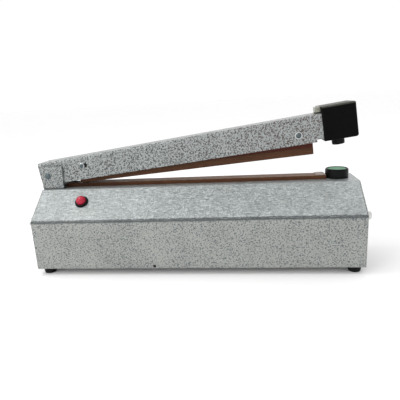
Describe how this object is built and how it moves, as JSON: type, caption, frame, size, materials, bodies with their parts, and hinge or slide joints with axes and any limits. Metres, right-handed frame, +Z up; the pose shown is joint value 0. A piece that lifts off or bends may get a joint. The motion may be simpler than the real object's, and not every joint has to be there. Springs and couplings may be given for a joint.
{
  "type": "impulse heat sealer",
  "caption": "Hand-operated impulse sealer: sloped sheet-metal base with lamp and start button, heated lower jaw, and a hinged sprung arm with press bar and handle.",
  "frame": {"origin": "centre of the bounding box in plan, on the ground under the rubber feet", "axes": "+X along the sealer towards the handle, -Y towards the user, +Z up"},
  "size_m": [0.4099, 0.097, 0.1945],
  "materials": {
    "hammer_paint": "hammertone enamel",
    "zinc_screw": "zinc plated",
    "spring_steel": "bare wire",
    "black_rubber": "matte",
    "aluminium_bar": "milled",
    "glass_cloth": "woven",
    "ptfe_cloth": "coated glass cloth, satin",
    "phenolic": "machined laminate",
    "silicone_red": "matte",
    "brass_clamp": "turned",
    "core_steel": "varnished laminations",
    "nylon_white": "moulded",
    "copper_winding": "varnished wire",
    "black_plastic": "moulded",
    "green_plastic": "moulded",
    "red_lens": "translucent moulding",
    "lamp_glass": "clear",
    "wire_pvc": "PVC insulation"
  },
  "bodies": {
    "base": {"base_tray": "hammer_paint", "top_cover": "hammer_paint", "end_panel_left": "hammer_paint", "end_panel_right": "hammer_paint", "end_panel_screws": "zinc_screw", "rubber_feet": "black_rubber", "foot_screws": "zinc_screw", "hinge_bracket": "hammer_paint", "bracket_screws": "zinc_screw", "bracket_nuts": "zinc_screw", "hinge_pin": "zinc_screw", "hinge_spacers": "zinc_screw", "return_spring": "spring_steel", "lower_jaw_bar": "aluminium_bar", "jaw_bar_screws": "zinc_screw", "element_pad": "glass_cloth", "heating_element": "spring_steel", "lower_jaw_cover": "ptfe_cloth", "element_anchor_blocks": "phenolic", "element_clamp_screws": "brass_clamp", "transformer_core": "core_steel", "transformer_bobbin": "nylon_white", "transformer_winding": "copper_winding", "transformer_strap": "zinc_screw", "transformer_screws": "zinc_screw", "button_bezel": "black_plastic", "button_nut": "black_plastic", "contact_block": "black_plastic", "button_spring": "spring_steel", "lamp_bezel": "black_plastic", "lamp_lens": "red_lens", "lamp_nut": "black_plastic", "lamp_bulb": "lamp_glass", "terminal_strip": "nylon_white", "terminal_screws": "zinc_screw", "cord_inlet": "black_rubber", "lead_wires": "wire_pvc"},
    "arm": {"arm_channel": "hammer_paint", "handle_tang": "hammer_paint", "tang_bolt": "zinc_screw", "handle_cap": "black_plastic", "striker_stub": "black_rubber", "striker_screw": "zinc_screw", "press_bolts": "zinc_screw", "press_nuts": "zinc_screw", "press_spacers": "zinc_screw"},
    "press": {"press_bar": "phenolic", "silicone_strip": "silicone_red", "press_cover": "ptfe_cloth"},
    "button": {"button_cap": "green_plastic"}
  },
  "joints": [
    {"name": "arm_hinge", "type": "hinge", "parent": "base", "child": "arm", "pos_m": [-0.1913, 0.0165, 0.1195], "axis": [0, 1, 0], "range_deg": [0, 4.4], "stiffness_Nm_per_rad": 4, "springref_deg": -68.75},
    {"name": "press_bar_tilt", "type": "hinge", "parent": "arm", "child": "press", "pos_m": [0.12877, 0.0165, 0.15754], "axis": [0, 1, 0], "range_deg": [0, 0.56]},
    {"name": "start_button", "type": "slide", "parent": "base", "child": "button", "axis": [0, 0, -1], "range_m": [0, 0.003], "stiffness_N_per_m": 700, "springref_m": -0.003, "deforming": ["button_spring"]}
  ],
  "couplings": [
    {"joint": "press_bar_tilt", "follows": "arm_hinge", "ratio": 0.125}
  ]
}
